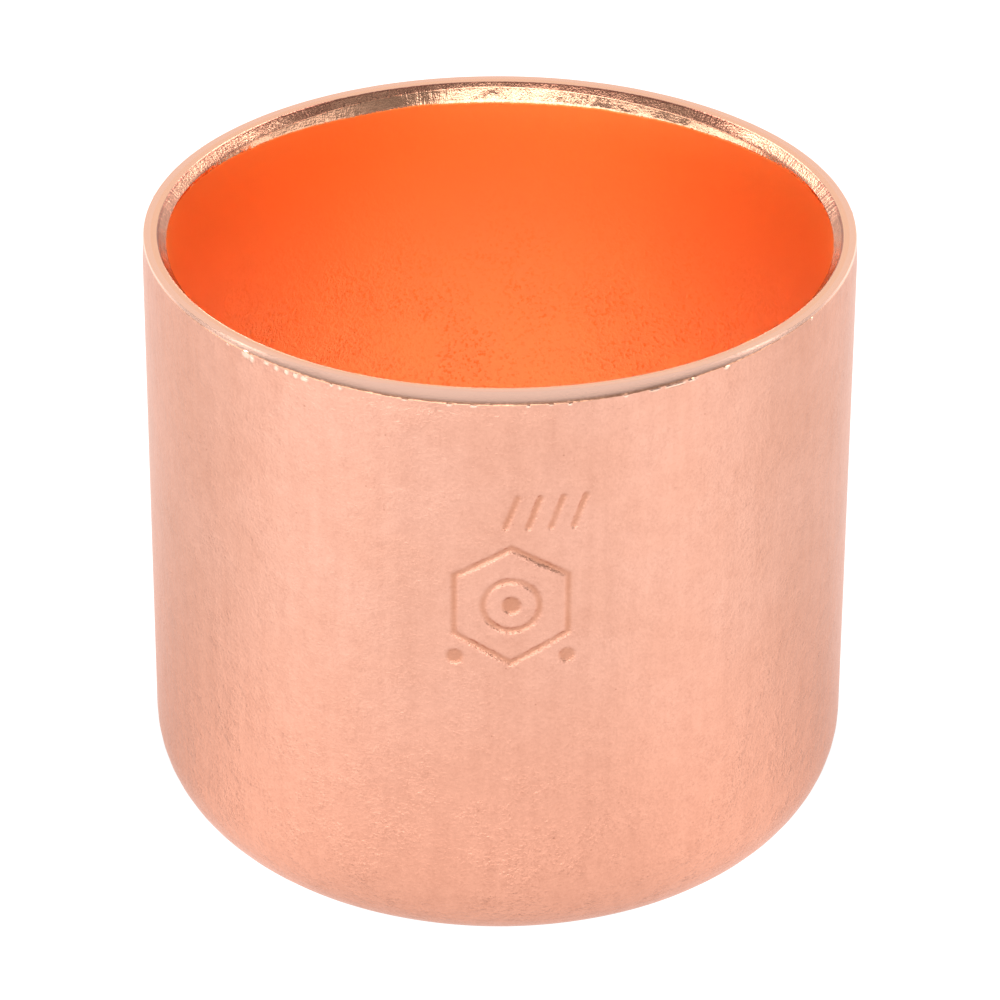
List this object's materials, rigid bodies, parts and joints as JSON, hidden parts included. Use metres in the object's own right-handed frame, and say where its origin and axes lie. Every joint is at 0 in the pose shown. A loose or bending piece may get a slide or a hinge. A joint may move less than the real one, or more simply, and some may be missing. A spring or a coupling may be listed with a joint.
{
  "type": "pipe cap",
  "caption": "Copper solder-joint end cap for tube: a thin deep-drawn cup with a rounded closed end, a chamfered socket mouth and a shallow rolled mark on its side.",
  "frame": {"origin": "centre of the closed end's outer face, on which the cap stands", "axes": "+Z along the socket axis, out of the open mouth; -Y towards the side that carries the rolled mark; +X to the right of it"},
  "size_m": [0.0308, 0.0308, 0.0281],
  "materials": {
    "drawn_copper": "matte drawn copper, bright where the rim is machined"
  },
  "bodies": {
    "root": {"cap_body": "drawn_copper"}
  },
  "joints": []
}
